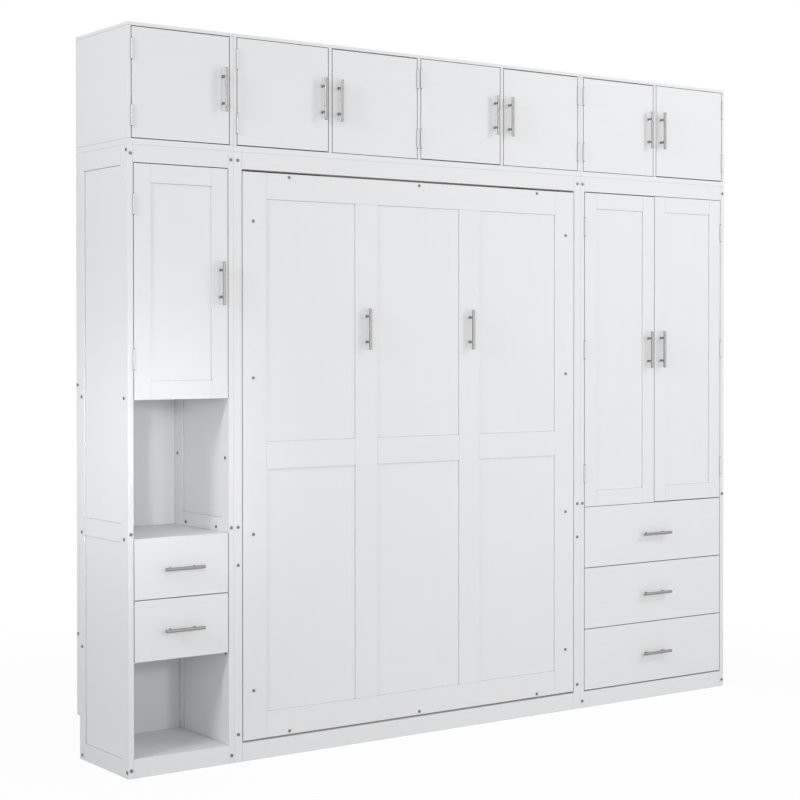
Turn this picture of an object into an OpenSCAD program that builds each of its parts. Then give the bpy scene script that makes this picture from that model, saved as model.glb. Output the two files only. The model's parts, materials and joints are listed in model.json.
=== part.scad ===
/* [Whole unit] */
// Height of the whole unit
total_h = 2618; // [2580:1:2700]
// Height of the floor-standing units, up to the overhead row
lower_h = 2196; // [2196:1:2210]
// Width of the left tower
left_w = 421; // [400:1:480]
// Width of the right tower
right_w = 836; // [780:1:900]
// Depth from the front plane to the wall
depth = 408; // [404:1:440]
// Height of the relief for a skirting board, cut from the rear strips
skirting_h = 157; // [100:1:180]

/* [Boards] */
// Thickness of the tower frames and face rails
frame_t = 21; // [18:1:24]
// Thickness of shelves and carcass boards
board_t = 15; // [12:1:16]
// Thickness of back boards and recessed fields
field_t = 6; // [4:1:8]
// Thickness of shaker doors and drawer fronts
face_t = 18; // [15:1:20]
// Depth of the recess in a shaker field
recess = 5; // [3:1:7]
// Gap around doors and drawer fronts
gap = 3; // [2.5:0.5:3.5]
// Width of the stiles and rails of a shaker door
shaker_w = 65; // [50:1:80]
// Width of the front stiles in the sides of a tower
side_stile_w = 52; // [45:1:60]
// Width of the rear stiles in the sides of a tower
rear_stile_w = 42; // [40:1:60]

/* [Bed front] */
// Width of the bed front
bed_face_w = 1575; // [1575:1:1600]
// Height of the bed front
bed_face_h = 2053; // [2000:1:2053]
// Height of the bed front's lower edge above the floor
bed_face_z = 74; // [72:1:74]
// Width of the four stiles of the bed front
bed_stile_w = 100; // [90:1:110]
// Height of the top and bottom rails of the bed front
bed_rail_w = 95; // [85:1:105]
// Height of the two-part middle rail of the bed front
bed_mid_rail_w = 100; // [90:1:110]
// Width of the bed cabinet's front posts
post_w = 34.5; // [34:0.5:38]

/* [Bed pivot and lift] */
// Distance of the pivot behind the front plane
pivot_y = 58; // [56:1:60]
// Height of the pivot above the floor
pivot_z = 300; // [296:1:304]
// Diameter of the pivot pins
pivot_d = 16; // [14:1:18]
// Radial clearance of pins in their bores
fit = 0.06; // [0.02:0.01:0.1]

/* [Bed frame] */
// Width of the mattress
mattress_w = 1524; // [1500:1:1530]
// Width of the timber rails behind the bed front
bed_frame_w = 30; // [25:1:32]
// Depth of the timber rails behind the bed front
bed_frame_d = 62; // [60:1:64]
// Number of slats
slat_count = 13; // [9:1:16]
// Width of a slat
slat_w = 70; // [50:1:80]

/* [Doors and drawers] */
// Height of the drawer tops, wardrobe floor and upper niche floor
drawer_top_z = 830; // [820:1:840]
// Height of the plinth
plinth_h = 66; // [60:1:70]
// Height of the lower edge of the left tower's door
left_door_z = 1312; // [1250:1:1350]
// Height of the lower edge of the left tower's drawers
left_drawer_z = 401; // [380:1:420]
// Height of the face rail above the tower doors
head_rail_h = 61; // [55:1:61]
// Thickness of the overhead doors
overhead_face_t = 15; // [15:1:18]
// Thickness of the overhead units' bottom board
overhead_base_t = 21; // [18:1:24]
// Thickness of the overhead units' top board
overhead_top_t = 12; // [10:1:16]
// Thickness of the overhead units' upright boards
overhead_side_t = 14; // [12:1:16]
// Depth of a drawer box behind its front
drawer_d = 330; // [300:5:335]

/* [Handles] */
// Length of a bar handle
handle_l = 156; // [130:1:180]
// Diameter of a bar handle
handle_d = 12; // [10:1:14]
// Distance between the two posts of a handle
handle_pitch = 96; // [64:32:128]
// Reach of a handle in front of the face
handle_reach = 32; // [30:1:40]
// Distance of an overhead door's handle from the door's edge
overhead_inset = 26; // [22:1:40]
// Distance of the left door's handle from the door's edge
left_inset = 29; // [22:1:40]
// Distance of a wardrobe door's handle from the door's edge
wardrobe_inset = 35; // [22:1:40]

/* [Hinges and bolts] */
// Height of a butt hinge
hinge_h = 72; // [60:1:80]
// Diameter of a hinge knuckle
knuckle_d = 7; // [6:0.5:7]
// Diameter of a hinge pin
hinge_pin_d = 3; // [2.5:0.5:3]
// Diameter of a bolt head
bolt_d = 12; // [10:1:14]

/* [Hidden] */
$fn = 48;

white = "#f1f2f3";
nickel = "#b8b4ab";
zinc = "#9a9c9e";
timber = "#d9bf94";
dark = "#3c3e40";

// Boards of one piece keep this hairline between them
seam = 0.2;
bed_w = bed_face_w + 2 * gap + 2 * post_w;
total_w = left_w + bed_w + right_w;
x_bed = left_w;
x_right = left_w + bed_w;
x_mid = x_bed + bed_w / 2;
y_mid = (depth - handle_reach) / 2;

// Tower sides and shelves
strip_t = 22;
carcass_d = depth - strip_t;
lower_back_y = carcass_d - 20;
upper_back_y = depth - field_t;
front_rail_z = lower_h - head_rail_h;
door_top_z = front_rail_z - gap;
side_foot_h = 60;
side_mid_z = [816, 880];
side_top_z = lower_h - 68;
side_field_x = 6;
side_field_t = 9;
front_clear = 1;
cupboard_shelf_z = 1715;
cupboard_shelf_y = 40;

// Wardrobe's hanging rail
hang_rail_z = 2035;
hang_rail_y = 200;
hang_rail_d = 25;
socket_d = 60;
socket_t = 3;

// Wall rails and their screw holes
wall_rail_h = 70;
wall_rail_z = [453, 1358];
wall_hole_d = 6.5;
wall_hole_x = 700;

// Overhead row
overhead_z = lower_h + overhead_base_t;
overhead_top_z = total_h - overhead_top_t;
overhead_door_z = [overhead_z + gap, overhead_top_z - gap];

// Bed front, timber frame and slats
bed_face_x = x_mid - bed_face_w / 2;
bed_top_z = bed_face_z + bed_face_h;
bed_field_w = (bed_face_w - 4 * bed_stile_w) / 3;
bed_mid_z = bed_face_z + bed_face_h / 2;
bed_handle_z = 1562;
swing_plinth_t = 15;
bed_bolt_inset = 44;
frame_y = face_t + seam;
frame_back_y = frame_y + bed_frame_d;
rail_x = bed_face_x + bed_bolt_inset - bed_frame_w / 2;
cross_rail_h = 24;
centre_beam_w = 40;
head_rail_z = bed_top_z - cross_rail_h;
foot_rail_z = bed_face_z + cross_rail_h;
slat_t = 12;
slat_back_y = frame_back_y + slat_t;
first_slat_z = 130;
last_slat_gap = 30;
lip_t = 12;
lip_h = 50;
lip_z = 720;
lip_x = x_mid - mattress_w / 2 - 1;

// Butt hinges, with both leaves in the gap beside the door
hinge_y = -knuckle_d / 2 - 0.1;
hinge_leaf_d = 14;
leaf_x = [0.3, gap / 2 - 0.1];
leaf_y = 0.3;
knuckles = 5;
knuckle_seg = hinge_h / knuckles;
knuckle_clear = 0.2;

// Handles and bolts
handle_y = handle_d / 2 - handle_reach;
handle_post_d = 9;
bolt_h = 2.5;
bolt_edge = 0.8;
bolt_socket_d = 5.5;
stile_bolt_y = 30;
edge_bolt_y = 10;
rear_bolt_y = carcass_d - 22;
strip_bolt_y = depth - 11;

// Drawer boxes and runners
box_t = 12;
box_base_t = 6;
runner_w = 13;
runner_y = 24;
runner_l = drawer_d - 10;
fixed_runner_l = lower_back_y - runner_y - 4;
runner_lift = 70;

// Bed pivot and gas springs, their studs given from the pivot as [y, z]
side_face_x = x_bed + board_t;
plate_t = 4;
boss_l = 22;
boss_d = 30;
stud_d = 8;
spring_x = x_bed + 49;
spring_arm = [-9, -130];
spring_top = [142, 260];
spring_v = spring_arm - spring_top;
spring_l = norm(spring_v);
spring_tilt = atan2(-spring_v[0], -spring_v[1]);
tube_d = 20;
tube_bore = 16;
tube_l = 215;
eye_d = 18;
eye_w = 10;

// Folding legs
leg_w = 40;
leg_t = 4.8;
leg_y = 50;
leg_x = bed_face_x + 60;
leg_z = bed_top_z + 1.6;
leg_l = pivot_z + leg_y - pivot_y;

// Clear openings of an overhead unit with n bays, from x0 to x1
function bays(x0, x1, n) = let (w = (x1 - x0 - (n + 1) * overhead_side_t) / n)
  [for (i = [0:n - 1]) let (x = x0 + overhead_side_t + i * (w + overhead_side_t)) [x, x + w]];
overhead_bays = concat(bays(0, x_bed, 1), bays(x_bed, x_right, 4), bays(x_right, total_w, 2));

// Doors as [left edge, right edge, hinge side, lift above the middle of the opening],
// where -1 hinges on the left
overhead_sides = [-1, -1, 1, -1, 1, -1, 1];
overhead_lifts = [0, 1, -1, 1, -1, -1, 1];
overhead_doors = [for (i = [0:6])
  [overhead_bays[i][0] + gap, overhead_bays[i][1] - gap, overhead_sides[i], overhead_lifts[i]]];
wardrobe_x = [x_right + frame_t + gap, total_w - frame_t - gap];
wardrobe_split = (wardrobe_x[0] + wardrobe_x[1]) / 2;
wardrobe_doors = [
  [wardrobe_x[0], wardrobe_split - gap / 2, -1, -1],
  [wardrobe_split + gap / 2, wardrobe_x[1], 1, 1]
];
left_door = [frame_t + gap, left_w - frame_t - gap, -1, 0];
left_door_span = [left_door_z, door_top_z];
drawer_face_z = drawer_top_z - 0.5;
wardrobe_span = [drawer_face_z + gap, door_top_z];

overhead_hinges = [overhead_door_z[0] + 76, overhead_door_z[1] - 77];
left_hinges = [left_door_z + 142, door_top_z - 142];
wardrobe_hinges = [wardrobe_span[0] + 138, (wardrobe_span[0] + door_top_z) / 2, door_top_z - 142];

// Drawers as [lower edge, upper edge]
left_split = (left_drawer_z + drawer_top_z) / 2;
left_drawers = [[left_split + gap / 2, drawer_face_z], [left_drawer_z, left_split - gap / 2]];
right_step = (drawer_top_z - plinth_h - gap) / 3;
right_drawers = [for (i = [0:2])
  let (top = drawer_face_z - i * right_step) [top + gap - right_step, top]];
left_bay = [frame_t, left_w - frame_t];
right_bay = [x_right + frame_t, total_w - frame_t];

// Places everything in the part's own frame
module placed() {
  translate([-total_w / 2, -y_mid, 0]) children();
}

// A board between two opposite corners
module board(lo, hi) {
  translate(lo) cube(hi - lo);
}

// Mirrors its children about the middle of the span from x0 to x1
module mirrored(x0, x1) {
  translate([x0 + x1, 0, 0]) mirror([1, 0, 0]) children();
}

// Draws its children once on each side of the bed
module both_sides() {
  children();
  mirrored(x_bed, x_right) children();
}

// ---------- carcasses ----------

// One frame-and-panel side, its outer face at x = 0
module tower_side() {
  y1 = carcass_d - rear_stile_w;
  rails = [[0, side_foot_h], side_mid_z, [side_top_z, lower_h]];
  fields = [[side_foot_h, side_mid_z[0]], [side_mid_z[1], side_top_z]];
  board([0, 0, 0], [frame_t, side_stile_w, lower_h]);
  board([0, y1, 0], [frame_t, carcass_d, lower_h]);
  for (r = rails)
    board([0, side_stile_w + seam, r[0]], [frame_t, y1 - seam, r[1]]);
  for (f = fields)
    board([side_field_x, side_stile_w + seam, f[0] + seam],
          [side_field_x + side_field_t, y1 - seam, f[1] - seam]);
}

module tower_sides(x0, x1) {
  color(white) placed() {
    translate([x0, 0, 0]) tower_side();
    mirrored(x0, x1) translate([x0, 0, 0]) tower_side();
  }
}

// Board across a tower bay, from y0 to y1, with its top at z1
module shelf(bay, y0, y1, z1) {
  board([bay[0], y0, z1 - board_t], [bay[1], y1, z1]);
}

// Face rails and horizontal boards that both towers share
module tower_core(bay) {
  board([bay[0], 0, front_rail_z], [bay[1], frame_t, lower_h]);
  board([bay[0], 0, 0], [bay[1], frame_t, plinth_h]);
  shelf(bay, frame_t + seam, upper_back_y - seam, lower_h);
  shelf(bay, frame_t + seam, lower_back_y - seam, plinth_h);
  shelf(bay, face_t + front_clear, upper_back_y - seam, drawer_top_z - front_clear);
}

module left_tower_shelves() {
  y0 = face_t + front_clear;
  color(white) placed() {
    tower_core(left_bay);
    shelf(left_bay, y0, lower_back_y - seam, left_drawer_z + board_t + 2 * front_clear);
    shelf(left_bay, y0, upper_back_y - seam, left_door_z + board_t + 2 * front_clear);
    shelf(left_bay, cupboard_shelf_y, upper_back_y - seam, cupboard_shelf_z + board_t);
  }
}

module right_tower_shelves() {
  color(white) placed() tower_core(right_bay);
}

// Backs of the drawer part, and of the niche and cupboard part above it
module tower_backs() {
  shelf_z = drawer_top_z - front_clear - board_t;
  color(white) placed()
    for (bay = [left_bay, right_bay]) {
      board([bay[0], lower_back_y, plinth_h - board_t], [bay[1], lower_back_y + field_t, shelf_z - seam]);
      board([bay[0], upper_back_y, shelf_z], [bay[1], depth, lower_h]);
    }
}

module bed_cabinet_frame() {
  x0 = x_bed + post_w + seam;
  x1 = x_right - post_w - seam;
  color(white) placed() {
    both_sides() bed_cabinet_side();
    board([x0, 0, front_rail_z], [x1, frame_t, lower_h]);
    board([x0, 0, 0], [x1, swing_plinth_t, plinth_h]);
    board([x0, frame_t + seam, lower_h - board_t], [x1, carcass_d, lower_h]);
  }
}

// Front post, side board and rear post
module bed_cabinet_side() {
  board([x_bed, 0, 0], [x_bed + post_w, frame_t, lower_h]);
  board([x_bed, frame_t + seam, 0], [side_face_x, carcass_d, lower_h]);
  board([side_face_x + seam, carcass_d - frame_t, 0], [x_bed + post_w, carcass_d, lower_h]);
}

// Rear strips behind the towers, and screwed wall rails behind the bed
module wall_rails() {
  x0 = x_bed + seam;
  x1 = x_right - seam;
  color(white) placed() {
    for (x = [0, left_bay[1], x_right, right_bay[1]])
      board([x, carcass_d, skirting_h], [x + frame_t, depth, lower_h]);
    for (z = wall_rail_z)
      difference() {
        board([x0, carcass_d, z - wall_rail_h / 2], [x1, depth, z + wall_rail_h / 2]);
        for (x = [-wall_hole_x, wall_hole_x])
          translate([x_mid + x, carcass_d - 1, z]) rotate([-90, 0, 0])
            cylinder(h = strip_t + 2, d = wall_hole_d);
      }
    board([x0, carcass_d, lower_h - wall_rail_h], [x1, depth, lower_h]);
  }
}

// One overhead carcass with n bays, each closed by a door
module overhead_carcass(x0, x1, n) {
  color(white) placed() {
    board([x0, 0, lower_h], [x1 - seam, depth, overhead_z]);
    board([x0, 0, overhead_top_z], [x1 - seam, depth, total_h]);
    uprights = concat(
      [for (b = bays(x0, x1, n)) [b[0] - overhead_side_t, b[0]]],
      [[x1 - overhead_side_t, x1 - seam]]
    );
    for (x = uprights)
      board([x[0], 0, overhead_z + seam], [x[1], depth - field_t - seam, overhead_top_z - seam]);
    board([x0, depth - field_t, overhead_z + seam], [x1 - seam, depth, overhead_top_z - seam]);
  }
}

// Hanging rail of the wardrobe in two round sockets
module hanging_rail() {
  x0 = x_right + side_field_x + side_field_t;
  x1 = total_w - side_field_x - side_field_t;
  bar_l = x1 - x0 - 2 * socket_t - 2 * seam;
  color("silver") placed() translate([0, hang_rail_y, hang_rail_z]) {
    translate([x0 + socket_t + seam, 0, 0]) rotate([0, 90, 0]) cylinder(h = bar_l, d = hang_rail_d);
    for (x = [x0, x1 - socket_t])
      translate([x, 0, 0]) rotate([0, 90, 0]) cylinder(h = socket_t, d = socket_d);
  }
}

// ---------- hinges, handles and bolts ----------

// Knuckle number i of a butt hinge, centred on the pin
module knuckle(i) {
  translate([0, hinge_y, i * knuckle_seg - hinge_h / 2 + knuckle_clear])
    cylinder(h = knuckle_seg - 2 * knuckle_clear, d = knuckle_d, $fn = 32);
}

// A leaf with tabs to its own knuckles, on the side of the pin given by s
module leaf(s, own_knuckles) {
  x = s > 0 ? leaf_x[0] : -leaf_x[1];
  leaf_t = leaf_x[1] - leaf_x[0];
  translate([x, leaf_y, -hinge_h / 2]) cube([leaf_t, hinge_leaf_d, hinge_h]);
  for (i = own_knuckles) {
    knuckle(i);
    translate([x, hinge_y, i * knuckle_seg - hinge_h / 2 + knuckle_clear])
      cube([leaf_t, leaf_y - hinge_y + 0.2, knuckle_seg - 2 * knuckle_clear]);
  }
}

// Leaf on the cabinet, with the pin fixed in its three knuckles
module fixed_leaf() {
  leaf(-1, [0:2:knuckles - 1]);
  translate([0, hinge_y, knuckle_clear - hinge_h / 2])
    cylinder(h = hinge_h - 2 * knuckle_clear, d = hinge_pin_d, $fn = 32);
}

// Leaf on the door, with two bored knuckles that turn on the pin
module door_leaf() {
  difference() {
    leaf(1, [1:2:knuckles - 1]);
    translate([0, hinge_y, -hinge_h]) cylinder(h = 2 * hinge_h, d = hinge_pin_d + 2 * fit, $fn = 32);
  }
}

// Puts a hinge part in the gap beside a door, at each height
module at_hinges(door, heights) {
  x = door[2] < 0 ? door[0] - gap / 2 : door[1] + gap / 2;
  for (z = heights)
    translate([x, 0, z + door[3]]) mirror([door[2] < 0 ? 0 : 1, 0, 0]) children();
}

module carcass_hinge_leaves() {
  color(white) placed() {
    at_hinges(left_door, left_hinges) fixed_leaf();
    for (d = wardrobe_doors) at_hinges(d, wardrobe_hinges) fixed_leaf();
    for (d = overhead_doors) at_hinges(d, overhead_hinges) fixed_leaf();
  }
}

// Upright bar handle on two posts, its centre at the origin on the face
module bar_handle() {
  translate([0, handle_y, -handle_l / 2]) cylinder(h = handle_l, d = handle_d);
  for (z = [-1, 1])
    translate([0, 0, z * handle_pitch / 2]) rotate([90, 0, 0])
      cylinder(h = -handle_y - handle_d / 2 - 0.1, d = handle_post_d);
}

module upright_handle(x, z) {
  color(nickel) placed() translate([x, 0, z]) bar_handle();
}

module level_handle(x, z) {
  color(nickel) placed() translate([x, 0, z]) rotate([0, 90, 0]) bar_handle();
}

// Puts a door's handle at its free side, halfway up the span
module door_handle(door, span, inset) {
  upright_handle(door[2] < 0 ? door[1] - inset : door[0] + inset, (span[0] + span[1]) / 2 + door[3]);
}

// Round bolt head with a hexagon socket, standing on the plane z = 0
module bolt_head() {
  difference() {
    union() {
      cylinder(h = bolt_h - bolt_edge, d = bolt_d);
      translate([0, 0, bolt_h - bolt_edge])
        cylinder(h = bolt_edge, d1 = bolt_d, d2 = bolt_d - 3 * bolt_edge);
    }
    translate([0, 0, bolt_h - 2 * bolt_edge]) cylinder(h = bolt_h, d = bolt_socket_d, $fn = 6);
  }
}

module front_bolt(x, z) {
  translate([x, 0, z]) rotate([90, 0, 0]) bolt_head();
}

// Bolt on an outer side face at x = 0, facing -X
module side_bolt(y, z) {
  translate([0, y, z]) rotate([0, -90, 0]) bolt_head();
}

// Bolts into the shelves and rails, seen on the front edges, the outer sides and in the niches
module carcass_bolts() {
  tower_z = [28, drawer_top_z + 17, lower_h - 31];
  post_z = [100, 710, drawer_top_z + 17, lower_h - 31];
  side_yz = [
    [edge_bolt_y, lower_h - 19], [edge_bolt_y, 21], [rear_bolt_y, 18],
    [stile_bolt_y, left_door_z + 6], [rear_bolt_y, left_door_z + 3],
    [stile_bolt_y, drawer_top_z - 2], [rear_bolt_y, drawer_top_z - 4],
    [rear_bolt_y, left_drawer_z + 10],
    [strip_bolt_y, wall_rail_z[0]], [strip_bolt_y, wall_rail_z[1]]
  ];
  inner_yz = [
    [carcass_d - bolt_d / 2, 1097], [26, 1097], [carcass_d - 69, drawer_top_z + 14],
    [91, drawer_top_z + 14], [23, left_drawer_z - 7]
  ];
  color(zinc) placed() {
    for (z = tower_z)
      for (x = [0, left_bay[1], x_right, right_bay[1]]) front_bolt(x + frame_t / 2, z);
    for (z = post_z) both_sides() front_bolt(x_bed + post_w / 2, z);
    for (p = side_yz) {
      side_bolt(p[0], p[1]);
      mirrored(0, total_w) side_bolt(p[0], p[1]);
    }
    for (p = inner_yz) translate([left_bay[1], 0, 0]) side_bolt(p[0], p[1]);
  }
}

// ---------- doors ----------

// Two stiles, two rails and the recessed field of a shaker door
module shaker_leaf(door, span) {
  x0 = door[0] + shaker_w;
  x1 = door[1] - shaker_w;
  z0 = span[0] + shaker_w;
  z1 = span[1] - shaker_w;
  board([door[0], 0, span[0]], [x0, face_t, span[1]]);
  board([x1, 0, span[0]], [door[1], face_t, span[1]]);
  board([x0 + seam, 0, span[0]], [x1 - seam, face_t, z0]);
  board([x0 + seam, 0, z1], [x1 - seam, face_t, span[1]]);
  board([x0 + seam, recess, z0 + seam], [x1 - seam, recess + field_t, z1 - seam]);
}

module shaker_door(door, span, hinges) {
  color(white) placed() {
    translate([0, 0, door[3]]) shaker_leaf(door, span);
    at_hinges(door, hinges) door_leaf();
  }
}

module overhead_door(i) {
  door = overhead_doors[i];
  color(white) placed() {
    translate([0, 0, door[3]])
      board([door[0], 0, overhead_door_z[0]], [door[1], overhead_face_t, overhead_door_z[1]]);
    at_hinges(door, overhead_hinges) door_leaf();
  }
}

module overhead_handle(i) {
  door_handle(overhead_doors[i], overhead_door_z, overhead_inset);
}

module wardrobe_handle(i) {
  door_handle(wardrobe_doors[i], wardrobe_span, wardrobe_inset);
}

module left_door_handle() {
  door_handle(left_door, left_door_span, left_inset);
}

// ---------- drawers ----------

module drawer_front(bay, span) {
  color(white) placed()
    board([bay[0] + gap, 0, span[0]], [bay[1] - gap, face_t, span[1]]);
}

function runner_z(span) = span[0] + runner_lift;

// Open box, plus the moving half of each runner
module drawer_box(bay, span) {
  x0 = bay[0] + runner_w;
  x1 = bay[1] - runner_w;
  y0 = face_t + seam;
  y1 = y0 + drawer_d;
  z0 = span[0] + 25;
  z1 = span[1] - 40;
  color(timber) placed() {
    for (x = [x0, x1 - box_t]) board([x, y0, z0], [x + box_t, y1, z1]);
    for (y = [y0, y1 - box_t])
      board([x0 + box_t + seam, y, z0], [x1 - box_t - seam, y + box_t, z1]);
    board([x0 + box_t + seam, y0 + box_t + seam, z0],
          [x1 - box_t - seam, y1 - box_t - seam, z0 + box_base_t]);
    runner_pair(bay, span) moving_runner();
  }
}

// Runner halves run along Y, from the cabinet side at x = 0 to the box at runner_w
module runner_bar(l, points) {
  translate([0, runner_y + l, 0]) rotate([90, 0, 0])
    linear_extrude(height = l) polygon(points);
}

// The fixed half reaches back to the rear stile
module fixed_runner() {
  runner_bar(fixed_runner_l, [
    [0.2, -22], [9, -22], [9, -16], [2, -16], [2, 16], [9, 16], [9, 22], [0.2, 22]
  ]);
}

module moving_runner() {
  runner_bar(runner_l, [
    [3, -13], [10, -13], [10, -20], [runner_w - 0.2, -20],
    [runner_w - 0.2, 20], [10, 20], [10, 13], [3, 13]
  ]);
}

// Draws a runner half at both sides of a bay
module runner_pair(bay, span) {
  translate([bay[0], 0, runner_z(span)]) children();
  mirrored(bay[0], bay[1]) translate([bay[0], 0, runner_z(span)]) children();
}

module drawer_runners() {
  color(zinc) placed() {
    for (s = left_drawers) runner_pair(left_bay, s) fixed_runner();
    for (s = right_drawers) runner_pair(right_bay, s) fixed_runner();
  }
}

module drawer_handle(bay, span) {
  level_handle((bay[0] + bay[1]) / 2, (span[0] + span[1]) / 2 - 4);
}

// ---------- bed ----------

// Four stiles, a top, a bottom and three middle rails, and six recessed fields
module bed_front() {
  rail_spans = [
    [bed_face_z, bed_face_z + bed_rail_w],
    [bed_mid_z - bed_mid_rail_w / 2, bed_mid_z + bed_mid_rail_w / 2],
    [bed_top_z - bed_rail_w, bed_top_z]
  ];
  outer_x = bed_face_x + bed_face_w - bed_stile_w;
  color(white) placed() {
    for (x = [bed_face_x, outer_x])
      board([x, 0, bed_face_z], [x + bed_stile_w, face_t, bed_top_z]);
    for (r = [rail_spans[0], rail_spans[2]])
      board([bed_face_x + bed_stile_w + seam, 0, r[0]], [outer_x - seam, face_t, r[1]]);
    for (i = [1, 2])
      board([bed_column_x(i) - bed_stile_w, 0, rail_spans[0][1] + seam],
            [bed_column_x(i), face_t, rail_spans[2][0] - seam]);
    for (i = [0:2]) {
      x = [bed_column_x(i) + seam, bed_column_x(i) + bed_field_w - seam];
      board([x[0], 0, rail_spans[1][0]], [x[1], face_t, rail_spans[1][1]]);
      for (k = [0, 1])
        board([x[0], recess, rail_spans[k][1] + seam],
              [x[1], recess + field_t, rail_spans[k + 1][0] - seam]);
    }
  }
}

// Left edge of field column i of the bed front
function bed_column_x(i) = bed_face_x + bed_stile_w + i * (bed_field_w + bed_stile_w);

// Timber frame that the bed front and the slats are screwed to, and the mattress boards
module bed_rails() {
  color(timber) placed() {
    both_sides() {
      board([rail_x, frame_y, foot_rail_z + seam],
            [rail_x + bed_frame_w, frame_back_y, head_rail_z - seam]);
      board([lip_x - lip_t, slat_back_y + seam, lip_z], [lip_x, slat_back_y + lip_h, head_rail_z]);
    }
    for (z = [bed_face_z, head_rail_z])
      board([rail_x, frame_y, z], [x_right + x_bed - rail_x, frame_back_y, z + cross_rail_h]);
    board([x_mid - centre_beam_w / 2, frame_y, foot_rail_z + seam],
          [x_mid + centre_beam_w / 2, frame_back_y, head_rail_z - seam]);
  }
}

// Slats above lip_z also carry the mattress boards, so they are longer
module bed_slats() {
  step = (head_rail_z - last_slat_gap - slat_w - first_slat_z) / (slat_count - 1);
  color(timber) placed()
    for (i = [0:slat_count - 1]) {
      z = first_slat_z + i * step;
      half_w = z > lip_z ? x_mid - lip_x + lip_t : mattress_w / 2;
      board([x_mid - half_w, frame_back_y, z], [x_mid + half_w, slat_back_y, z + slat_w]);
    }
}

module bed_handles() {
  for (i = [1, 2]) upright_handle(bed_column_x(i) - bed_stile_w / 2, bed_handle_z);
}

module bed_bolts() {
  stile_step = 566;
  top_step = 590.5;
  edge_inset = 12;
  color(zinc) placed() {
    for (i = [-1.5:1:1.5])
      both_sides() front_bolt(bed_face_x + bed_bolt_inset, bed_mid_z + i * stile_step);
    for (z = [bed_face_z + edge_inset, bed_top_z - edge_inset])
      for (i = [-1:1]) front_bolt(x_mid + i * top_step, z);
  }
}

// ---------- pivot, gas springs and legs ----------

// A round bar along +X from x0 to x1, at a place given from the pivot as [y, z]
module cross_bar(x0, x1, d, at = [0, 0]) {
  translate([x0, pivot_y + at[0], pivot_z + at[1]]) rotate([0, 90, 0]) cylinder(h = x1 - x0, d = d);
}

// Cabinet half: bored boss for the pin, and the gas spring's upper stud
module bed_pivot_plates() {
  color(zinc) placed() both_sides() {
    difference() {
      union() {
        board([side_face_x, pivot_y - 30, pivot_z - 50],
              [side_face_x + plate_t, pivot_y + 50, pivot_z + 50]);
        cross_bar(side_face_x, side_face_x + boss_l, boss_d);
      }
      cross_bar(side_face_x - 1, side_face_x + boss_l + 1, pivot_d + 2 * fit);
    }
    cross_bar(side_face_x, side_face_x + plate_t, 44, spring_top);
    cross_bar(side_face_x, spring_x + 9, stud_d, spring_top);
  }
}

// Bed half: pin plate on the side rail, and the gas spring's lower stud
module bed_pivot_pins() {
  color(zinc) placed() both_sides() {
    board([rail_x - plate_t, pivot_y - 34, pivot_z - 60], [rail_x, pivot_y + 20, pivot_z + 60]);
    cross_bar(side_face_x + 3, rail_x - plate_t / 2, pivot_d);
    cross_bar(spring_x + 11, rail_x, stud_d, spring_arm);
    leg_stud();
  }
}

// Gas spring parts are drawn hanging straight down from the upper stud
module at_spring() {
  both_sides()
    translate([spring_x, pivot_y + spring_top[0], pivot_z + spring_top[1]])
      rotate([-spring_tilt, 0, 0]) children();
}

// An eye or a bore across the gas spring, w wide and centred on it
module spring_cross(w, d) {
  translate([-w / 2, 0, 0]) rotate([0, 90, 0]) cylinder(h = w, d = d);
}

module gas_spring_tubes() {
  color(dark) placed() at_spring() difference() {
    union() {
      spring_cross(eye_w, eye_d);
      translate([0, 0, -22]) cylinder(h = 20, d = stud_d + 1);
      translate([0, 0, -tube_l]) cylinder(h = tube_l - 20, d = tube_d);
    }
    spring_cross(eye_w + 2, stud_d + 2 * fit);
    translate([0, 0, -tube_l + 10]) cylinder(h = tube_l - 38, d = tube_bore);
    translate([0, 0, -tube_l - 1]) cylinder(h = 20, d = stud_d + 2 * fit);
  }
}

// Rod with its piston in the tube, and a wide eye at the bed's stud
module gas_spring_rods() {
  color("silver") placed() at_spring() difference() {
    union() {
      translate([0, 0, -tube_l + 20]) cylinder(h = 10, d = tube_bore - 2 * fit);
      translate([0, 0, -spring_l + 4]) cylinder(h = spring_l - tube_l + 20, d = stud_d);
      translate([0, 0, -spring_l]) spring_cross(eye_w + 2, eye_d);
    }
    translate([0, 0, -spring_l]) spring_cross(eye_w + 4, stud_d + 2);
  }
}

// Stud on the head rail that a leg turns on, with its washer and head
module leg_stud() {
  translate([leg_x, leg_y, bed_top_z]) {
    cylinder(h = 1.5, d = 24);
    cylinder(h = 7.6, d = stud_d);
    translate([0, 0, 6.5]) cylinder(h = 1.1, d = 16);
  }
}

// Flat bar that lies over the head rail and swings out in front of the bed
module leg() {
  translate([leg_x, leg_y, leg_z]) difference() {
    union() {
      cylinder(h = leg_t, d = leg_w);
      translate([0, -leg_w / 2, 0]) cube([leg_l, leg_w, leg_t]);
    }
    translate([0, 0, -1]) cylinder(h = leg_t + 2, d = stud_d + 2 * fit);
  }
}

module left_leg() {
  color(dark) placed() leg();
}

module right_leg() {
  color(dark) placed() mirrored(x_bed, x_right) leg();
}

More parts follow.
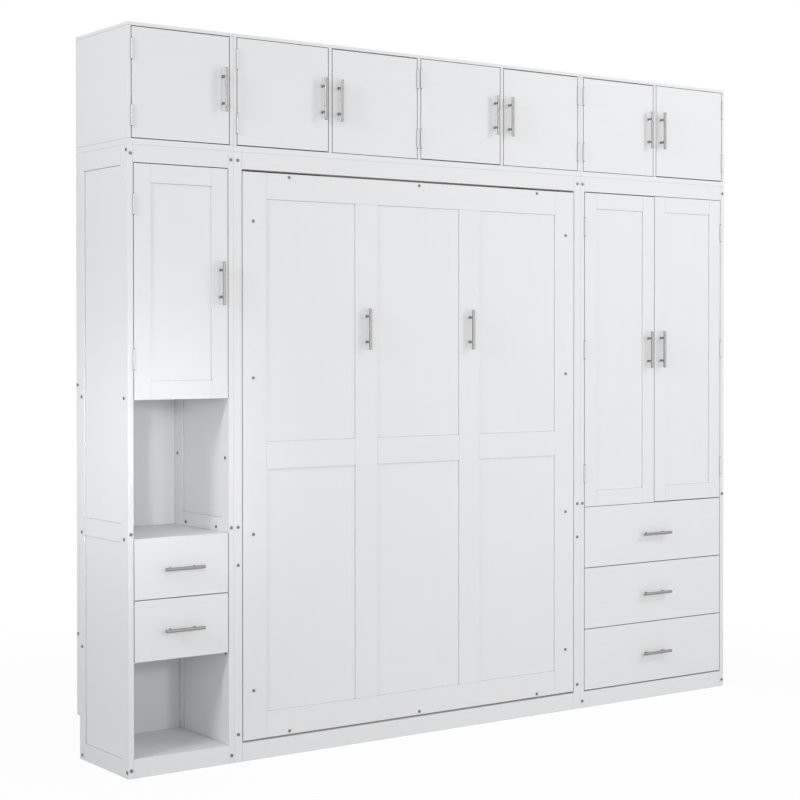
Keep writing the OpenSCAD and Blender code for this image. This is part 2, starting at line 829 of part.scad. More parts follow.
tower_sides(0, left_w);  // left_tower_sides
left_tower_shelves();
tower_sides(x_right, total_w);  // right_tower_sides
right_tower_shelves();
tower_backs();
bed_cabinet_frame();
wall_rails();
overhead_carcass(0, x_bed, 1);  // overhead_left_carcass
overhead_carcass(x_bed, x_right, 4);  // overhead_centre_carcass
overhead_carcass(x_right, total_w, 2);  // overhead_right_carcass
hanging_rail();
carcass_hinge_leaves();
drawer_runners();
carcass_bolts();
bed_pivot_plates();
bed_front();
bed_rails();
bed_slats();
bed_handles();
bed_bolts();
bed_pivot_pins();
left_leg();
right_leg();
gas_spring_tubes();
gas_spring_rods();
shaker_door(left_door, left_door_span, left_hinges);
left_door_handle();
shaker_door(wardrobe_doors[0], wardrobe_span, wardrobe_hinges);  // wardrobe_door_left
wardrobe_handle(0);  // wardrobe_door_left_handle
shaker_door(wardrobe_doors[1], wardrobe_span, wardrobe_hinges);  // wardrobe_door_right
wardrobe_handle(1);  // wardrobe_door_right_handle
overhead_door(0);  // overhead_door_1
overhead_handle(0);  // overhead_door_1_handle
overhead_door(1);  // overhead_door_2
overhead_handle(1);  // overhead_door_2_handle
overhead_door(2);  // overhead_door_3
overhead_handle(2);  // overhead_door_3_handle
overhead_door(3);  // overhead_door_4
overhead_handle(3);  // overhead_door_4_handle
overhead_door(4);  // overhead_door_5
overhead_handle(4);  // overhead_door_5_handle
overhead_door(5);  // overhead_door_6
overhead_handle(5);  // overhead_door_6_handle
overhead_door(6);  // overhead_door_7
overhead_handle(6);  // overhead_door_7_handle
drawer_front(left_bay, left_drawers[0]);  // left_drawer_1_front
drawer_box(left_bay, left_drawers[0]);  // left_drawer_1_box
drawer_handle(left_bay, left_drawers[0]);  // left_drawer_1_handle
drawer_front(left_bay, left_drawers[1]);  // left_drawer_2_front
drawer_box(left_bay, left_drawers[1]);  // left_drawer_2_box
drawer_handle(left_bay, left_drawers[1]);  // left_drawer_2_handle
drawer_front(right_bay, right_drawers[0]);  // right_drawer_1_front
drawer_box(right_bay, right_drawers[0]);  // right_drawer_1_box
drawer_handle(right_bay, right_drawers[0]);  // right_drawer_1_handle
drawer_front(right_bay, right_drawers[1]);  // right_drawer_2_front
drawer_box(right_bay, right_drawers[1]);  // right_drawer_2_box
drawer_handle(right_bay, right_drawers[1]);  // right_drawer_2_handle
drawer_front(right_bay, right_drawers[2]);  // right_drawer_3_front
drawer_box(right_bay, right_drawers[2]);  // right_drawer_3_box
drawer_handle(right_bay, right_drawers[2]);  // right_drawer_3_handle
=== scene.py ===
import json
import math
import random

import bmesh
import bpy
from mathutils import Matrix, Vector


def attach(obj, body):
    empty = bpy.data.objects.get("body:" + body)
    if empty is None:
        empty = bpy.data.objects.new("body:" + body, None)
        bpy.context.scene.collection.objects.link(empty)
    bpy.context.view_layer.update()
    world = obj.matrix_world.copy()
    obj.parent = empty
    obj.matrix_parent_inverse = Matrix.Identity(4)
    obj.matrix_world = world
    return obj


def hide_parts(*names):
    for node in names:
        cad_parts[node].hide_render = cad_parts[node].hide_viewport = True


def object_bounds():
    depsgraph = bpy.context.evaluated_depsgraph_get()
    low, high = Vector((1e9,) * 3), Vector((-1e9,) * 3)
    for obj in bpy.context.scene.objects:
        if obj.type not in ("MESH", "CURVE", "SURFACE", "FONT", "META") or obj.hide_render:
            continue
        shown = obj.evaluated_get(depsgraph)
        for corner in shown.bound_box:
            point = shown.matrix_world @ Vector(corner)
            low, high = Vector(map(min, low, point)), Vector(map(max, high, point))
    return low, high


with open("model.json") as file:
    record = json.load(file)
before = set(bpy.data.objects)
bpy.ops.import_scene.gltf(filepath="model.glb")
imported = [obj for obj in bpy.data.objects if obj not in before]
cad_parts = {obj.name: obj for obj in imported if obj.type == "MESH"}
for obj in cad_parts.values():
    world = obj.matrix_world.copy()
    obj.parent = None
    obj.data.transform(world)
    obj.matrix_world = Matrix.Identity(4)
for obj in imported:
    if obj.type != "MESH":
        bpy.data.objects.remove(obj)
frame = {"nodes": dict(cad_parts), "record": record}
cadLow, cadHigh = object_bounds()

nodeBody = {node: body for body, members in frame["record"]["behaviour"]["bodies"].items()
            for node in members}
chance = random.Random(11)
print("frame loaded with", len(nodeBody), "nodes")


def startFinish(name, colour, metallic=0, roughness=0.5):
    finish = bpy.data.materials.new(name)
    finish.use_nodes = True
    tree = finish.node_tree
    shader = tree.nodes["Principled BSDF"]
    shader.inputs["Base Color"].default_value = (*colour, 1)
    shader.inputs["Metallic"].default_value = metallic
    shader.inputs["Roughness"].default_value = roughness
    return finish, tree, shader


def addNode(tree, kind, settings=None, **links):
    # settings are sockets or properties of the node; links go from outputs to its sockets
    node = tree.nodes.new(kind)
    for key, value in (settings or {}).items():
        if key in node.inputs:
            node.inputs[key].default_value = value
        else:
            setattr(node, key, value)
    for key, source in links.items():
        tree.links.new(source, node.inputs[key])
    return node


def patternPlace(tree, scale=(1, 1, 1)):
    # "grain" runs along the longest side of each board or bar, in metres
    grain = addNode(tree, "ShaderNodeAttribute", {"attribute_name": "grain"})
    return addNode(tree, "ShaderNodeMapping", {"Scale": scale}, Vector=grain.outputs["Vector"])


def addNoise(tree, place, scale=1.0, detail=2.0, distortion=0.0):
    return addNode(tree, "ShaderNodeTexNoise",
                   {"Scale": scale, "Detail": detail, "Distortion": distortion},
                   Vector=place.outputs["Vector"])


def mixColours(tree, factor, first, second, edges=(0.3, 0.7)):
    # edges are the factors at which the first colour ends and the second begins
    ramp = addNode(tree, "ShaderNodeValToRGB", Fac=factor)
    for stop, place, colour in zip(ramp.color_ramp.elements, edges, (first, second)):
        stop.position = place
        stop.color = (*colour, 1)
    return ramp.outputs["Color"]


def spread(tree, factor, low, high):
    reach = addNode(tree, "ShaderNodeMapRange", {"To Min": low, "To Max": high}, Value=factor)
    return reach.outputs["Result"]


def multiplied(tree, first, second):
    # the mix node has sockets of the same name, so they are taken by number
    mix = addNode(tree, "ShaderNodeMix", {"data_type": "RGBA", "blend_type": "MULTIPLY"})
    mix.inputs[0].default_value = 1
    tree.links.new(first, mix.inputs[6])
    tree.links.new(second, mix.inputs[7])
    return mix.outputs[2]


def addBump(tree, height, distance, below=None):
    bump = addNode(tree, "ShaderNodeBump", {"Strength": 1.0, "Distance": distance}, Height=height)
    if below:
        tree.links.new(below.outputs["Normal"], bump.inputs["Normal"])
    return bump


# painted shade for gaps and inner corners: its darkest colour, and the occlusion values at which
# it is full and at which it ends
crevice = {"samples": 8, "shade": (0.24, 0.24, 0.24), "edges": (0.12, 0.72)}


def addPaintedCreviceShade(tree, colour, reach):
    # painted shade: darkens the colour in gaps and inner corners, where shade falls
    around = addNode(tree, "ShaderNodeAmbientOcclusion",
                     {"samples": crevice["samples"], "Distance": reach})
    shade = mixColours(tree, around.outputs["AO"], crevice["shade"], (1, 1, 1), crevice["edges"])
    return multiplied(tree, colour, shade)


# the last value is how far the painted shade in gaps and corners reaches, in metres
paint = {"colour": (0.872, 0.876, 0.888), "shade": (0.858, 0.862, 0.874), "cloud": 1.7,
         "roughness": (0.45, 0.57), "streak": (2.5, 170, 170), "streakTwist": 0.4,
         "streakShade": (0.992, 0.992, 0.992), "streakEdges": (0.35, 0.6),
         "streakDepth": 0.00001, "stipple": 750, "stippleDepth": 0.000016, "crevice": 0.005}


def makePaint():
    finish, tree, shader = startFinish("satinWhitePaint", paint["colour"])
    even = patternPlace(tree)
    cloud = addNoise(tree, even, paint["cloud"])
    streak = addNoise(tree, patternPlace(tree, paint["streak"]), distortion=paint["streakTwist"])
    stipple = addNoise(tree, even, paint["stipple"])
    tone = mixColours(tree, cloud.outputs["Fac"], paint["shade"], paint["colour"])
    fibre = mixColours(tree, streak.outputs["Fac"], paint["streakShade"], (1, 1, 1),
                       paint["streakEdges"])
    # the colour gets painted shade in gaps and inner corners
    tree.links.new(addPaintedCreviceShade(tree, multiplied(tree, tone, fibre), paint["crevice"]),
                   shader.inputs["Base Color"])
    tree.links.new(spread(tree, cloud.outputs["Fac"], *paint["roughness"]),
                   shader.inputs["Roughness"])
    ridges = addBump(tree, streak.outputs["Fac"], paint["streakDepth"])
    skin = addBump(tree, stipple.outputs["Fac"], paint["stippleDepth"], ridges)
    tree.links.new(skin.outputs["Normal"], shader.inputs["Normal"])
    return finish


# the last value is how far the painted shade in gaps and corners reaches, in metres
hingeCoat = {"colour": (0.84, 0.845, 0.855), "shade": (0.79, 0.795, 0.805), "roughness": 0.33,
             "patch": 60, "pebble": 1800, "pebbleDepth": 0.000012, "crevice": 0.003}


def makeHingeCoat():
    finish, tree, shader = startFinish("whiteHingeCoat", hingeCoat["colour"],
                                       roughness=hingeCoat["roughness"])
    even = patternPlace(tree)
    pebble = addNoise(tree, even, hingeCoat["pebble"])
    patch = addNoise(tree, even, hingeCoat["patch"])
    tone = mixColours(tree, patch.outputs["Fac"], hingeCoat["shade"], hingeCoat["colour"])
    # the colour gets painted shade in gaps and inner corners
    tree.links.new(addPaintedCreviceShade(tree, tone, hingeCoat["crevice"]), shader.inputs["Base Color"])
    skin = addBump(tree, pebble.outputs["Fac"], hingeCoat["pebbleDepth"])
    tree.links.new(skin.outputs["Normal"], shader.inputs["Normal"])
    return finish


nickel = {"colour": (0.32, 0.317, 0.308), "shade": (0.26, 0.257, 0.25), "smudge": 34,
          "roughness": (0.32, 0.42), "brush": (7, 2600, 2600), "brushDepth": 0.0000015}


def makeNickel():
    finish, tree, shader = startFinish("satinNickel", nickel["colour"], metallic=1)
    brush = addNoise(tree, patternPlace(tree, nickel["brush"]), detail=3)
    smudge = addNoise(tree, patternPlace(tree), nickel["smudge"])
    tree.links.new(mixColours(tree, brush.outputs["Fac"], nickel["shade"], nickel["colour"]),
                   shader.inputs["Base Color"])
    tree.links.new(spread(tree, smudge.outputs["Fac"], *nickel["roughness"]),
                   shader.inputs["Roughness"])
    skin = addBump(tree, brush.outputs["Fac"], nickel["brushDepth"])
    tree.links.new(skin.outputs["Normal"], shader.inputs["Normal"])
    return finish


zinc = {"crystal": 900, "crystalEdges": (0.1, 0.9), "pit": 2400, "pitDepth": 0.000008}
boltZinc = {"colour": (0.25, 0.254, 0.258), "shade": (0.16, 0.163, 0.168),
            "roughness": (0.24, 0.42)}
fittingZinc = {"colour": (0.60, 0.61, 0.62), "shade": (0.50, 0.51, 0.52),
               "roughness": (0.34, 0.52)}


def makeZinc(name, tint):
    finish, tree, shader = startFinish(name, tint["colour"], metallic=1)
    even = patternPlace(tree)
    crystal = addNode(tree, "ShaderNodeTexVoronoi", {"Scale": zinc["crystal"]},
                      Vector=even.outputs["Vector"])
    pit = addNoise(tree, even, zinc["pit"])
    tree.links.new(mixColours(tree, crystal.outputs["Color"], tint["shade"], tint["colour"],
                              zinc["crystalEdges"]), shader.inputs["Base Color"])
    tree.links.new(spread(tree, pit.outputs["Fac"], *tint["roughness"]),
                   shader.inputs["Roughness"])
    skin = addBump(tree, pit.outputs["Fac"], zinc["pitDepth"])
    tree.links.new(skin.outputs["Normal"], shader.inputs["Normal"])
    return finish


# the coat is smoother where it is worn, so its roughness goes down
blackCoat = {"colour": (0.018, 0.018, 0.02), "worn": (0.045, 0.045, 0.048),
             "roughness": (0.52, 0.38), "rub": (8, 120, 120), "rubEdges": (0.5, 0.85),
             "peel": 1300, "peelDepth": 0.00003}


def makeBlackCoat():
    finish, tree, shader = startFinish("blackPowderCoat", blackCoat["colour"])
    peel = addNoise(tree, patternPlace(tree), blackCoat["peel"])
    rub = addNoise(tree, patternPlace(tree, blackCoat["rub"]), detail=3)
    tree.links.new(mixColours(tree, rub.outputs["Fac"], blackCoat["colour"], blackCoat["worn"],
                              blackCoat["rubEdges"]), shader.inputs["Base Color"])
    tree.links.new(spread(tree, rub.outputs["Fac"], *blackCoat["roughness"]),
                   shader.inputs["Roughness"])
    skin = addBump(tree, peel.outputs["Fac"], blackCoat["peelDepth"])
    tree.links.new(skin.outputs["Normal"], shader.inputs["Normal"])
    return finish


chrome = {"colour": (0.80, 0.81, 0.82), "roughness": (0.05, 0.2), "smudge": 26,
          "smudgeStretch": (0.3, 1, 1)}


def makeChrome():
    finish, tree, shader = startFinish("polishedChrome", chrome["colour"], metallic=1)
    smudge = addNoise(tree, patternPlace(tree, chrome["smudgeStretch"]), chrome["smudge"],
                      detail=3)
    tree.links.new(spread(tree, smudge.outputs["Fac"], *chrome["roughness"]),
                   shader.inputs["Roughness"])
    return finish


timber = {"pale": (0.70, 0.54, 0.35), "dark": (0.55, 0.38, 0.21), "pore": (0.82, 0.76, 0.68),
          "roughness": (0.62, 0.44), "ring": (1.1, 26, 26), "ringScale": 1.2, "ringWander": 5.5,
          "ringDetail": 2.0, "ringFineness": 0.8, "ringEdges": (0.0, 0.75),
          "fibre": (9, 1100, 1100), "poreEdges": (0.36, 0.52), "fibreDepth": 0.00005}


def makeTimber():
    finish, tree, shader = startFinish("clearTimber", timber["pale"])
    ring = addNode(tree, "ShaderNodeTexWave",
                   {"Scale": timber["ringScale"], "Distortion": timber["ringWander"],
                    "Detail": timber["ringDetail"], "Detail Scale": timber["ringFineness"],
                    "bands_direction": "Y"},
                   Vector=patternPlace(tree, timber["ring"]).outputs["Vector"])
    fibre = addNoise(tree, patternPlace(tree, timber["fibre"]), detail=3)
    figure = mixColours(tree, ring.outputs["Fac"], timber["dark"], timber["pale"],
                        timber["ringEdges"])
    pore = mixColours(tree, fibre.outputs["Fac"], timber["pore"], (1, 1, 1),
                      timber["poreEdges"])
    tree.links.new(multiplied(tree, figure, pore), shader.inputs["Base Color"])
    tree.links.new(spread(tree, fibre.outputs["Fac"], *timber["roughness"]),
                   shader.inputs["Roughness"])
    skin = addBump(tree, fibre.outputs["Fac"], timber["fibreDepth"])
    tree.links.new(skin.outputs["Normal"], shader.inputs["Normal"])
    return finish


# one finish for each material slot of the part
finishes = {
    "white_paint": makePaint(),
    "white_hinge": makeHingeCoat(),
    "handle_nickel": makeNickel(),
    "bolt_zinc": makeZinc("zincBolt", boltZinc),
    "fitting_steel": makeZinc("zincFitting", fittingZinc),
    "black_steel": makeBlackCoat(),
    "chrome": makeChrome(),
    "plain_timber": makeTimber(),
}
print("finishes made:", len(finishes))


# distances in metres and angles in degrees
shaping = {"weld": 0.00001, "latheWeld": 0.000001, "flatAngle": 1, "easedAngle": 40,
           "easeSteps": 2, "sharpAngle": 26, "grainShift": 9}


def partsOf(shape):
    # groups of vertices that hang together, one group for each solid
    left = set(shape.verts)
    groups = []
    while left:
        first = min(left, key=lambda vert: vert.index)
        group, waiting = {first}, [first]
        while waiting:
            for edge in waiting.pop().link_edges:
                for vert in edge.verts:
                    if vert not in group:
                        group.add(vert)
                        waiting.append(vert)
        left -= group
        groups.append(group)
    return groups


def extent(verts):
    points = [vert.co for vert in verts]
    low = Vector([min(p[k] for p in points) for k in range(3)])
    high = Vector([max(p[k] for p in points) for k in range(3)])
    return low, high


def copyNode(node, wanted=None):
    # a merged copy of a node's solids, or of those whose size is wanted
    shape = bmesh.new()
    shape.from_mesh(frame["nodes"][node].data)
    bmesh.ops.remove_doubles(shape, verts=shape.verts, dist=shaping["weld"])
    shape.verts.index_update()
    if wanted:
        for group in partsOf(shape):
            low, high = extent(group)
            if not wanted(high - low):
                bmesh.ops.delete(shape, geom=list(group), context="VERTS")
    return shape


def solidBoxes(node):
    shape = copyNode(node)
    boxes = [extent(group) for group in partsOf(shape)]
    shape.free()
    return boxes


def easeEdges(shape, width):
    bmesh.ops.dissolve_limit(shape, angle_limit=math.radians(shaping["flatAngle"]),
                             verts=shape.verts, edges=shape.edges)
    leastAngle = math.radians(shaping["easedAngle"])
    edges = [e for e in shape.edges if e.is_manifold and e.calc_face_angle() > leastAngle]
    bmesh.ops.bevel(shape, geom=edges, offset=width, offset_type="OFFSET",
                    segments=shaping["easeSteps"], profile=0.5, affect="EDGES",
                    clamp_overlap=True, material=-1)


def layGrain(shape):
    # stores each point's place along and across its own board
    grain = shape.verts.layers.float_vector.new("grain")
    shape.verts.index_update()
    for group in partsOf(shape):
        low, high = extent(group)
        order = sorted(range(3), key=lambda k: low[k] - high[k])
        shift = Vector([chance.uniform(0, shaping["grainShift"]) for _ in range(3)])
        for vert in group:
            vert[grain] = Vector([vert.co[k] for k in order]) + shift


def finishPiece(shape, name, slotName, node):
    layGrain(shape)
    mesh = bpy.data.meshes.new(name)
    shape.to_mesh(mesh)
    shape.free()
    mesh.materials.append(finishes[slotName])
    for face in mesh.polygons:
        face.use_smooth = True
        face.material_index = 0
    mesh.set_sharp_from_angle(angle=math.radians(shaping["sharpAngle"]))
    piece = bpy.data.objects.new(name, mesh)
    bpy.context.scene.collection.objects.link(piece)
    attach(piece, nodeBody[node])
    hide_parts(node)


def turnTo(direction):
    # a turn that takes +Z to the given direction
    return Vector((0, 0, 1)).rotation_difference(Vector(direction)).to_matrix().to_4x4()


def lathe(shape, profile, foot, direction, steps):
    # profile goes from the axis at the foot to the axis at the tip, as (radius, height)
    verts = [shape.verts.new((radius, 0, height)) for radius, height in profile]
    edges = [shape.edges.new(pair) for pair in zip(verts, verts[1:])]
    before = set(shape.verts) - set(verts)
    bmesh.ops.spin(shape, geom=verts + edges, cent=(0, 0, 0), axis=(0, 0, 1),
                   angle=math.tau, steps=steps, use_merge=True)
    made = [vert for vert in shape.verts if vert not in before]
    bmesh.ops.remove_doubles(shape, verts=made, dist=shaping["latheWeld"])
    made = [vert for vert in shape.verts if vert not in before]
    faces = {face for vert in made for face in vert.link_faces}
    bmesh.ops.recalc_face_normals(shape, faces=list(faces))
    bmesh.ops.transform(shape, verts=made,
                        matrix=Matrix.Translation(foot) @ turnTo(direction))


def camelName(node):
    first, *rest = node.split("_")
    return first + "".join(word.capitalize() for word in rest)


# width of the eased edges, and the sizes that tell a hinge leaf or a runner from a board
boards = {"carcassEdge": 0.0009, "frontEdge": 0.0009, "leafEdge": 0.00045, "timberEdge": 0.0015,
          "slatEdge": 0.0028, "hingeHeight": 0.1, "hingeWidth": 0.02, "runnerWidth": 0.0115}
carcassNodes = ("left_tower_sides", "left_tower_shelves", "right_tower_sides",
                "right_tower_shelves", "tower_backs", "bed_cabinet_frame", "wall_rails",
                "overhead_left_carcass", "overhead_centre_carcass", "overhead_right_carcass")


def isHinge(size):
    return size.z < boards["hingeHeight"] and size.x < boards["hingeWidth"]


def isRunner(size):
    return size.x < boards["runnerWidth"]


def makeBoards(node, slotName, width, wanted=None):
    shape = copyNode(node, wanted)
    easeEdges(shape, width)
    finishPiece(shape, camelName(node), slotName, node)


def makeDrawerBox(node):
    makeBoards(node, "plain_timber", boards["timberEdge"], lambda size: not isRunner(size))
    finishPiece(copyNode(node, isRunner), camelName(node) + "Runners", "fitting_steel", node)


for node in carcassNodes:
    makeBoards(node, "white_paint", boards["carcassEdge"])
makeBoards("bed_front", "white_paint", boards["leafEdge"])
makeBoards("bed_rails", "plain_timber", boards["timberEdge"])
makeBoards("bed_slats", "plain_timber", boards["slatEdge"])
for node in nodeBody:
    if node.endswith("_front") and node != "bed_front":
        makeBoards(node, "white_paint", boards["frontEdge"])
    if node.endswith("_box"):
        makeDrawerBox(node)
print("boards eased")


# the leaf is flat behind flatFrom, counted from the front of its knuckles; capShoulder and
# screwShoulder are shares of radius and height, and holeFloor is a share of the hole's radius
hinge = {"capRadius": 0.0031, "capHeight": 0.0024, "capFoot": 0.001, "capRim": 0.0004,
         "capShoulder": (0.8, 0.75), "capSides": 20, "screwRadius": 0.0028,
         "screwRise": 0.00012, "screwShoulder": (0.9, 0.3), "screwHole": 0.0011,
         "screwFoot": 0.0005, "holeDepth": 0.0003, "holeFloor": 0.7, "screwSides": 16,
         "screwFromEdge": 0.0065, "screwStep": 0.024, "flatFrom": 0.009}


def addPinCaps(metal, low, high):
    # the pin runs in the middle of the knuckles, which are the front of the leaf
    radius, height = hinge["capRadius"], hinge["capHeight"]
    inward, upward = hinge["capShoulder"]
    middleX = (low.x + high.x) / 2
    pinY = low.y + (high.x - low.x) / 2
    profile = [(0, -hinge["capFoot"]), (radius, -hinge["capFoot"]), (radius, hinge["capRim"]),
               (radius * inward, height * upward), (0, height)]
    for z, up in ((low.z, -1), (high.z, 1)):
        lathe(metal, profile, (middleX, pinY, z), (0, 0, up), hinge["capSides"])


def addScrews(metal, group, low, high):
    # three in each leaf, in the face that is turned to the pin
    pinX = (low.x + high.x) / 2
    flat = [vert.co.x for vert in group if vert.co.y > low.y + hinge["flatFrom"]]
    faceX = min(flat, key=lambda x: abs(x - pinX))
    side = 1 if pinX > faceX else -1
    radius, rise, hole = hinge["screwRadius"], hinge["screwRise"], hinge["screwHole"]
    inward, upward = hinge["screwShoulder"]
    profile = [(0, -hinge["screwFoot"]), (radius, -hinge["screwFoot"]), (radius, rise * upward),
               (radius * inward, rise), (hole, rise),
               (hole * hinge["holeFloor"], -hinge["holeDepth"]), (0, -hinge["holeDepth"])]
    for step in (-1, 0, 1):
        z = (low.z + high.z) / 2 + step * hinge["screwStep"]
        lathe(metal, profile, (faceX, high.y - hinge["screwFromEdge"], z), (side, 0, 0),
              hinge["screwSides"])


def makeHinges(node, wanted=None, withPins=False, suffix=""):
    shape, metal = copyNode(node, wanted), bmesh.new()
    for group in partsOf(shape):
        low, high = extent(group)
        addScrews(metal, group, low, high)
        if withPins:
            addPinCaps(metal, low, high)
    finishPiece(metal, camelName(node) + suffix + "Screws", "bolt_zinc", node)
    finishPiece(shape, camelName(node) + suffix, "white_hinge", node)


def isDoor(node):
    leads = ("left_door", "wardrobe_door", "overhead_door")
    return node.startswith(leads) and not node.endswith("_handle")


makeHinges("carcass_hinge_leaves", withPins=True)
for node in nodeBody:
    if isDoor(node):
        edge = boards["frontEdge"] if node.startswith("overhead") else boards["leafEdge"]
        makeBoards(node, "white_paint", edge, lambda size: not isHinge(size))
        makeHinges(node, isHinge, suffix="Hinges")
print("doors and hinges made")


# endSteps are the inset and height of the points of a rounded end, as shares of its chamfer,
# and collarRim is the share of the collar's height up to its eased edge
handle = {"barRadius": 0.006, "chamfer": 0.0009, "endSteps": ((1.6, 0), (0.6, 0.25), (0, 1)),
          "barSides": 36, "barLeast": 0.1, "postRadius": 0.0044, "postFillet": 0.0002,
          "postSides": 24, "collarRadius": 0.0056, "collarHeight": 0.0016, "collarRim": 0.7,
          "collarEase": 0.0004}


def addBar(shape, low, high):
    size = high - low
    along = max(range(3), key=lambda k: size[k])
    direction = [0, 0, 0]
    direction[along] = 1
    foot = (low + high) / 2
    foot[along] = low[along]
    radius, chamfer, length = handle["barRadius"], handle["chamfer"], size[along]
    end = [(radius - inset * chamfer, rise * chamfer) for inset, rise in handle["endSteps"]]
    farEnd = [(reach, length - height) for reach, height in reversed(end)]
    lathe(shape, [(0, 0), *end, *farEnd, (0, length)], foot, direction, handle["barSides"])


def addPost(shape, low, high, barY):
    radius, collar, rise = handle["postRadius"], handle["collarRadius"], handle["collarHeight"]
    reach = high.y - barY
    profile = [(0, 0), (collar, 0), (collar, rise * handle["collarRim"]),
               (collar - handle["collarEase"], rise), (radius + handle["postFillet"], rise),
               (radius, rise + handle["collarEase"]), (radius, reach), (0, reach)]
    lathe(shape, profile, ((low.x + high.x) / 2, high.y, (low.z + high.z) / 2), (0, -1, 0),
          handle["postSides"])


def makeHandles(node):
    shape = bmesh.new()
    solids = solidBoxes(node)
    barY = min(low.y + high.y for low, high in solids) / 2
    for low, high in solids:
        if max(high - low) > handle["barLeast"]:
            addBar(shape, low, high)
        else:
            addPost(shape, low, high, barY)
    finishPiece(shape, camelName(node), "handle_nickel", node)


for node in nodeBody:
    if node.endswith("_handle") or node == "bed_handles":
        makeHandles(node)
print("handles made")


# domeSteps are the share of the dome's height in each step, and how much width it keeps
bolt = {"shoulder": 0.0017, "dome": 0.0007, "domeSteps": ((0.6, 0.92), (0.4, 0.78)),
        "socket": 0.0027, "depth": 0.0014, "sides": 24}


def hexagonRadius(angle, flat):
    turn = (angle % (math.pi / 3)) - math.pi / 6
    return flat / math.cos(turn)


def pullFace(shape, face, rise, scale=1):
    pulled = bmesh.ops.extrude_discrete_faces(shape, faces=[face])["faces"][0]
    for vert in pulled.verts:
        vert.co.x *= scale
        vert.co.y *= scale
        vert.co.z += rise
    return pulled


def addBolt(shape, foot, direction, radius):
    # a domed head with a hexagon socket
    before = set(shape.verts)
    disc = bmesh.ops.create_circle(shape, cap_ends=True, radius=radius, segments=bolt["sides"])
    face = pullFace(shape, disc["verts"][0].link_faces[0], bolt["shoulder"])
    for share, scale in bolt["domeSteps"]:
        face = pullFace(shape, face, bolt["dome"] * share, scale)
    face = pullFace(shape, face, 0)
    for vert in face.verts:
        angle = math.atan2(vert.co.y, vert.co.x)
        reach = hexagonRadius(angle, bolt["socket"])
        vert.co.x, vert.co.y = reach * math.cos(angle), reach * math.sin(angle)
    pullFace(shape, face, -bolt["depth"])
    made = [vert for vert in shape.verts if vert not in before]
    faces = {f for vert in made for f in vert.link_faces}
    bmesh.ops.recalc_face_normals(shape, faces=list(faces))
    bmesh.ops.transform(shape, verts=made, matrix=Matrix.Translation(foot) @ turnTo(direction)
                        @ Matrix.Rotation(chance.uniform(0, 1), 4, "Z"))


def makeBolts(node):
    shape = bmesh.new()
    middleX = (cadLow.x + cadHigh.x) / 2
    for low, high in solidBoxes(node):
        size, middle = high - low, (low + high) / 2
        if size.y < size.x:
            addBolt(shape, (middle.x, high.y, middle.z), (0, -1, 0), size.x / 2)
        else:
            # those on the right side face +X, all others face -X
            side = 1 if middle.x > middleX else -1
            footX = low.x if side > 0 else high.x
            addBolt(shape, (footX, middle.y, middle.z), (side, 0, 0), size.y / 2)
    finishPiece(shape, camelName(node), "bolt_zinc", node)


makeBolts("carcass_bolts")
makeBolts("bed_bolts")
print("bolts made")


# steel fittings, which keep the shape of their solids
fittings = {"bed_pivot_plates": "fitting_steel", "bed_pivot_pins": "fitting_steel",
            "drawer_runners": "fitting_steel", "gas_spring_tubes": "black_steel",
            "gas_spring_rods": "chrome", "hanging_rail": "chrome",
            "left_leg": "black_steel", "right_leg": "black_steel"}
for node, slotName in fittings.items():
    finishPiece(copyNode(node), camelName(node), slotName, node)
print("fittings made")


# the floor glows fully from fadeFar on, and a little less up to fadeNear, in metres
studio = {"floorSize": 9, "floorColour": (0.62, 0.62, 0.62), "floorSeen": (0.9, 0.9, 0.9),
          "floorRoughness": 0.8, "floorGlow": 0.95, "fadeNear": 1.7, "fadeFar": 3.2,
          "worldLight": 0.42, "shadeInset": 0.12, "shadeRise": 0.0006}


def seenRay(tree):
    # 1 where the background is looked at or mirrored, and 0 where it lights the unit
    path = addNode(tree, "ShaderNodeLightPath")
    either = addNode(tree, "ShaderNodeMath", {"operation": "MAXIMUM"})
    tree.links.new(path.outputs["Is Camera Ray"], either.inputs[0])
    tree.links.new(path.outputs["Is Glossy Ray"], either.inputs[1])
    return either.outputs[0]


def makeFloorFinish():
    finish, tree, shader = startFinish("paleFloor", studio["floorColour"],
                                       roughness=studio["floorRoughness"])
    seen = seenRay(tree)
    tree.links.new(mixColours(tree, seen, studio["floorColour"], studio["floorSeen"], (0, 1)),
                   shader.inputs["Base Color"])
    place = addNode(tree, "ShaderNodeTexCoord")
    away = addNode(tree, "ShaderNodeVectorMath", {"operation": "LENGTH"},
                   Vector=place.outputs["Object"])
    fade = addNode(tree, "ShaderNodeMapRange",
                   {"From Min": studio["fadeNear"], "From Max": studio["fadeFar"],
                    "To Min": studio["floorGlow"], "To Max": 1.0}, Value=away.outputs["Value"])
    share = addNode(tree, "ShaderNodeMath", {"operation": "MULTIPLY"})
    tree.links.new(seen, share.inputs[0])
    tree.links.new(fade.outputs["Result"], share.inputs[1])
    glow = addNode(tree, "ShaderNodeEmission", {"Color": (1, 1, 1, 1)})
    mix = addNode(tree, "ShaderNodeMixShader")
    tree.links.new(share.outputs[0], mix.inputs[0])
    tree.links.new(shader.outputs[0], mix.inputs[1])
    tree.links.new(glow.outputs[0], mix.inputs[2])
    tree.links.new(mix.outputs[0], tree.nodes["Material Output"].inputs["Surface"])
    return finish


def makeGround(name, width, length, height, finish):
    # a flat sheet in the middle of the stage
    shape = bmesh.new()
    bmesh.ops.create_grid(shape, x_segments=1, y_segments=1, size=0.5)
    for vert in shape.verts:
        vert.co = Vector((vert.co.x * width, vert.co.y * length, height))
    mesh = bpy.data.meshes.new(name)
    shape.to_mesh(mesh)
    shape.free()
    mesh.materials.append(finish)
    ground = bpy.data.objects.new(name, mesh)
    bpy.context.scene.collection.objects.link(ground)


def makeFloor():
    makeGround("floor", studio["floorSize"], studio["floorSize"], 0, makeFloorFinish())


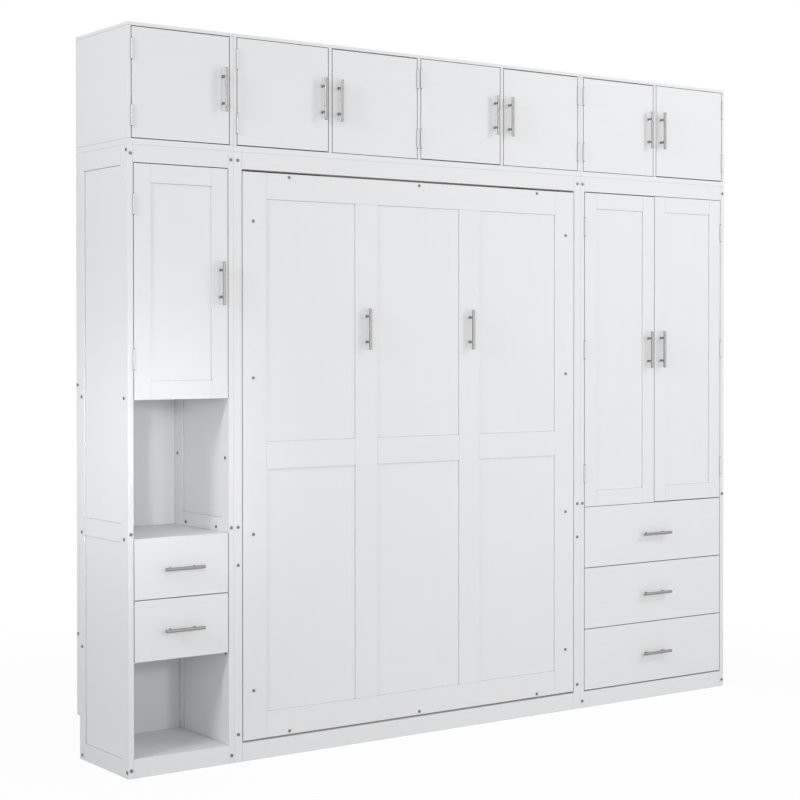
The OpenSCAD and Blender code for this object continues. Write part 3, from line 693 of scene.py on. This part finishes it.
def makeShade():
    # plain ground under the unit, so that no light comes up through its gaps
    finish = startFinish("groundShade", studio["floorColour"],
                         roughness=studio["floorRoughness"])[0]
    makeGround("groundShade", cadHigh.x - cadLow.x - studio["shadeInset"],
               cadHigh.y - cadLow.y - studio["shadeInset"], studio["shadeRise"], finish)


def makeWorld():
    world = bpy.data.worlds.new("studioWorld")
    bpy.context.scene.world = world
    world.use_nodes = True
    tree = world.node_tree
    background = tree.nodes["Background"]
    background.inputs["Color"].default_value = (1, 1, 1, 1)
    tree.links.new(spread(tree, seenRay(tree), studio["worldLight"], 1.0),
                   background.inputs["Strength"])


# each lamp is a disc, with its place, aim, width in metres, power in watts and beam in degrees
lamps = {
    "keyLamp": ((-0.4735, -4.7915, 1.77), (-0.47, 0, 1.5), 0.5, 32, 180),
    "highLamp": ((1.5, -2.8, 4.0), (-0.8, 0, 0.8), 1.2, 7, 180),
    "rightLamp": ((3.0, -2.9, 3.25), (1.0, -0.2, 2.3), 1.0, 27, 180),
    "leftLamp": ((-5.35, -1.4, 3.3), (-1.4, 0, 1.6), 1.1, 70, 180),
    "leftFrontLamp": ((-6.0, -4.5, 2.4), (-1.0, 0, 1.5), 2.5, 36, 180),
    "lowRightLamp": ((1.6, -3.0, 1.1), (0.9, 0, 0.9), 1.5, 12, 180),
    "nicheLamp": ((-3.5, -3.0, 1.7), (-1.27, 0.2, 1.08), 0.6, 0.62, 20),
}


def makeLamp(name, place, aim, width, power, beam):
    light = bpy.data.lights.new(name, "AREA")
    light.shape = "DISK"
    light.size = width
    light.energy = power
    light.spread = math.radians(beam)
    lamp = bpy.data.objects.new(name, light)
    bpy.context.scene.collection.objects.link(lamp)
    lamp.location = place
    lamp.rotation_euler = (Vector(aim) - Vector(place)).to_track_quat("-Z", "Y").to_euler()


# place in metres, angles in degrees, lens and sensor in millimetres
view = {"place": (-4.2728, -5.7302, 1.5068), "yaw": 35.6435, "pitch": -0.6313,
        "roll": -0.0186, "lens": 80.21, "sensor": 36, "shiftY": -0.04578, "farthest": 200}


def makeCamera():
    data = bpy.data.cameras.new("photoCamera")
    data.sensor_width = view["sensor"]
    data.lens = view["lens"]
    data.shift_y = view["shiftY"]
    data.clip_end = view["farthest"]
    camera = bpy.data.objects.new("photoCamera", data)
    bpy.context.scene.collection.objects.link(camera)
    yaw, pitch = math.radians(view["yaw"]), math.radians(view["pitch"])
    forward = Vector((math.sin(yaw) * math.cos(pitch), math.cos(yaw) * math.cos(pitch),
                      math.sin(pitch)))
    turn = forward.to_track_quat("-Z", "Y").to_matrix().to_4x4()
    roll = Matrix.Rotation(math.radians(view["roll"]), 4, "Z")
    camera.matrix_world = Matrix.Translation(view["place"]) @ turn @ roll
    bpy.context.scene.camera = camera


makeFloor()
makeShade()
makeWorld()
for lampName, lampValues in lamps.items():
    makeLamp(lampName, *lampValues)
makeCamera()
bpy.context.scene.view_settings.view_transform = "Standard"
print("studio made")
